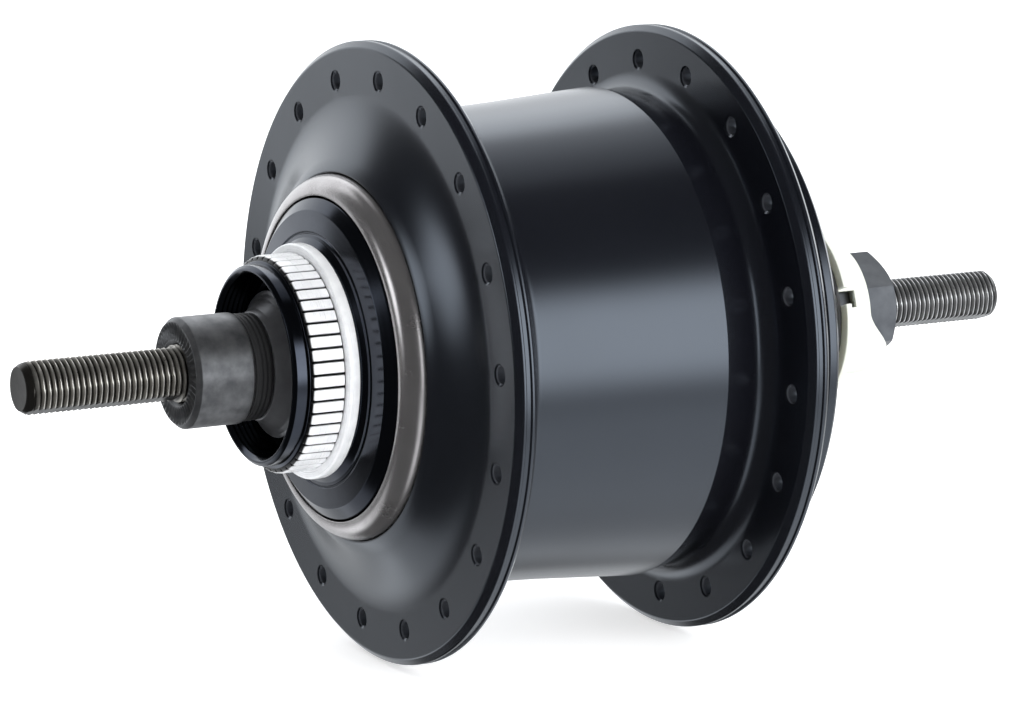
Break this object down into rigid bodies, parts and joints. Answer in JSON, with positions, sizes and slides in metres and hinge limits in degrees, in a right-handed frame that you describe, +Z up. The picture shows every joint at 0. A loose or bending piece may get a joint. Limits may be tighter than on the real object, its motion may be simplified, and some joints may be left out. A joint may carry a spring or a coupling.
{
  "type": "bicycle hub gear",
  "caption": "Bicycle hub gear: a black shell with two spoke flanges turns on a fixed threaded axle, driven through two planetary stages, with a splined rotor seat at one end.",
  "frame": {"origin": "on the hub axis, midway between the outer faces of the two lock nuts; the axle stands 1.3 mm further out on the brake side", "axes": "+Y along the axle towards the brake side, -Y towards the drive side; +X forwards, so a wheel rolling forwards turns positively about +Y; +Z up"},
  "size_m": [0.1046, 0.187, 0.1046],
  "materials": {
    "black_shell": "satin black anodised, with a cool sheen",
    "machined_aluminium": "bright turned",
    "axle_steel": "dark plated rolled thread",
    "plated_steel": "grey zinc plate",
    "bearing_steel": "ground and hardened",
    "ball_steel": "polished balls and rollers in a pressed cage",
    "pin_steel": "ground pins and spring steel",
    "driver_steel": "dark heat-treated",
    "gear_steel": "cut, heat-treated and lightly greased",
    "rubber": "matt moulded",
    "black_plastic": "moulded",
    "white_plastic": "off-white moulded nylon"
  },
  "bodies": {
    "axle_group": {"axle": "axle_steel", "lock_nut_brake": "axle_steel", "boot_brake": "rubber", "dust_cap_brake": "axle_steel", "cone_brake": "bearing_steel", "cone_drive": "bearing_steel", "joint_keeper": "white_plastic", "lock_nut_drive": "plated_steel", "sun_gear_low": "gear_steel", "sun_gear_small": "gear_steel", "pawl_low": "pin_steel", "pawl_high": "pin_steel", "return_spring": "pin_steel"},
    "shell_group": {"hub_shell": "black_shell", "disc_mount": "black_shell", "rotor_sleeve": "machined_aluminium", "seal_ring_brake": "plated_steel", "bearing_cup_brake": "bearing_steel", "end_cover": "black_shell", "bearing_cup_drive": "bearing_steel", "clutch_race": "bearing_steel"},
    "driver_group": {"driver": "driver_steel", "bearing_cup_driver": "bearing_steel", "snap_ring": "pin_steel", "driver_cap": "black_plastic", "driver_shield": "black_plastic", "ring_gear_low": "gear_steel"},
    "carrier_group": {"carrier_low": "gear_steel", "carrier_high": "gear_steel", "pin_low_1": "pin_steel", "pin_low_2": "pin_steel", "pin_low_3": "pin_steel", "pin_high_1": "pin_steel", "pin_high_2": "pin_steel", "pin_high_3": "pin_steel"},
    "planet_low_1_group": {"planet_low_1": "gear_steel"},
    "planet_low_2_group": {"planet_low_2": "gear_steel"},
    "planet_low_3_group": {"planet_low_3": "gear_steel"},
    "planet_high_1_group": {"planet_high_1": "gear_steel"},
    "planet_high_2_group": {"planet_high_2": "gear_steel"},
    "planet_high_3_group": {"planet_high_3": "gear_steel"},
    "sun_mid_group": {"sun_gear_mid": "gear_steel"},
    "sun_big_group": {"sun_gear_big": "gear_steel"},
    "output_group": {"ring_gear_high": "gear_steel", "clutch_cam": "bearing_steel"},
    "roller_group": {"roller_cage": "ball_steel"},
    "balls_brake_group": {"ball_retainer_brake": "ball_steel"},
    "balls_shell_group": {"ball_retainer_shell": "ball_steel"},
    "balls_drive_group": {"ball_retainer_drive": "ball_steel"},
    "shift_group": {"shift_ring": "plated_steel", "shift_cam": "gear_steel"}
  },
  "joints": [
    {"name": "shell_spin", "type": "hinge", "parent": "axle_group", "child": "shell_group", "pos_m": [0, 0, 0], "axis": [0, 1, 0], "continuous": true},
    {"name": "driver_spin", "type": "hinge", "parent": "axle_group", "child": "driver_group", "pos_m": [0, 0, 0], "axis": [0, 1, 0], "continuous": true},
    {"name": "carrier_spin", "type": "hinge", "parent": "axle_group", "child": "carrier_group", "pos_m": [0, 0, 0], "axis": [0, 1, 0], "continuous": true},
    {"name": "planet_low_1_spin", "type": "hinge", "parent": "carrier_group", "child": "planet_low_1_group", "pos_m": [0, -0.018, 0.01955], "axis": [0, 1, 0], "continuous": true},
    {"name": "planet_low_2_spin", "type": "hinge", "parent": "carrier_group", "child": "planet_low_2_group", "pos_m": [0.01693, -0.018, -0.00978], "axis": [0, 1, 0], "continuous": true},
    {"name": "planet_low_3_spin", "type": "hinge", "parent": "carrier_group", "child": "planet_low_3_group", "pos_m": [-0.01693, -0.018, -0.00978], "axis": [0, 1, 0], "continuous": true},
    {"name": "planet_high_1_spin", "type": "hinge", "parent": "carrier_group", "child": "planet_high_1_group", "pos_m": [0, 0.002, 0.0216], "axis": [0, 1, 0], "continuous": true},
    {"name": "planet_high_2_spin", "type": "hinge", "parent": "carrier_group", "child": "planet_high_2_group", "pos_m": [0.01871, 0.002, -0.0108], "axis": [0, 1, 0], "continuous": true},
    {"name": "planet_high_3_spin", "type": "hinge", "parent": "carrier_group", "child": "planet_high_3_group", "pos_m": [-0.01871, 0.002, -0.0108], "axis": [0, 1, 0], "continuous": true},
    {"name": "sun_mid_spin", "type": "hinge", "parent": "axle_group", "child": "sun_mid_group", "pos_m": [0, 0, 0], "axis": [0, 1, 0], "continuous": true},
    {"name": "sun_big_spin", "type": "hinge", "parent": "axle_group", "child": "sun_big_group", "pos_m": [0, 0, 0], "axis": [0, 1, 0], "continuous": true},
    {"name": "output_spin", "type": "hinge", "parent": "axle_group", "child": "output_group", "pos_m": [0, 0, 0], "axis": [0, 1, 0], "continuous": true},
    {"name": "roller_cage_orbit", "type": "hinge", "parent": "axle_group", "child": "roller_group", "pos_m": [0, 0, 0], "axis": [0, 1, 0], "continuous": true},
    {"name": "ball_orbit_brake", "type": "hinge", "parent": "axle_group", "child": "balls_brake_group", "pos_m": [0, 0, 0], "axis": [0, 1, 0], "continuous": true},
    {"name": "ball_orbit_shell", "type": "hinge", "parent": "axle_group", "child": "balls_shell_group", "pos_m": [0, 0, 0], "axis": [0, 1, 0], "continuous": true},
    {"name": "ball_orbit_drive", "type": "hinge", "parent": "axle_group", "child": "balls_drive_group", "pos_m": [0, 0, 0], "axis": [0, 1, 0], "continuous": true},
    {"name": "shift_turn", "type": "hinge", "parent": "axle_group", "child": "shift_group", "pos_m": [0, 0, 0], "axis": [0, 1, 0], "range_deg": [0, 100], "stiffness_Nm_per_rad": 0.15, "springref_deg": -57.3}
  ],
  "couplings": [
    {"joint": "driver_spin", "follows": "shell_spin", "ratio": 1.1893},
    {"joint": "carrier_spin", "follows": "shell_spin", "ratio": 0.62963},
    {"joint": "planet_low_1_spin", "follows": "shell_spin", "ratio": 1.5111},
    {"joint": "planet_low_2_spin", "follows": "shell_spin", "ratio": 1.5111},
    {"joint": "planet_low_3_spin", "follows": "shell_spin", "ratio": 1.5111},
    {"joint": "planet_high_1_spin", "follows": "shell_spin", "ratio": 1.2593},
    {"joint": "planet_high_2_spin", "follows": "shell_spin", "ratio": 1.2593},
    {"joint": "planet_high_3_spin", "follows": "shell_spin", "ratio": 1.2593},
    {"joint": "sun_mid_spin", "follows": "shell_spin", "ratio": -0.26984},
    {"joint": "sun_big_spin", "follows": "shell_spin", "ratio": -1.1333},
    {"joint": "output_spin", "follows": "shell_spin", "ratio": 1},
    {"joint": "roller_cage_orbit", "follows": "shell_spin", "ratio": 1},
    {"joint": "ball_orbit_brake", "follows": "shell_spin", "ratio": 0.5833},
    {"joint": "ball_orbit_shell", "follows": "shell_spin", "ratio": 1.0908},
    {"joint": "ball_orbit_drive", "follows": "shell_spin", "ratio": 0.6937}
  ]
}
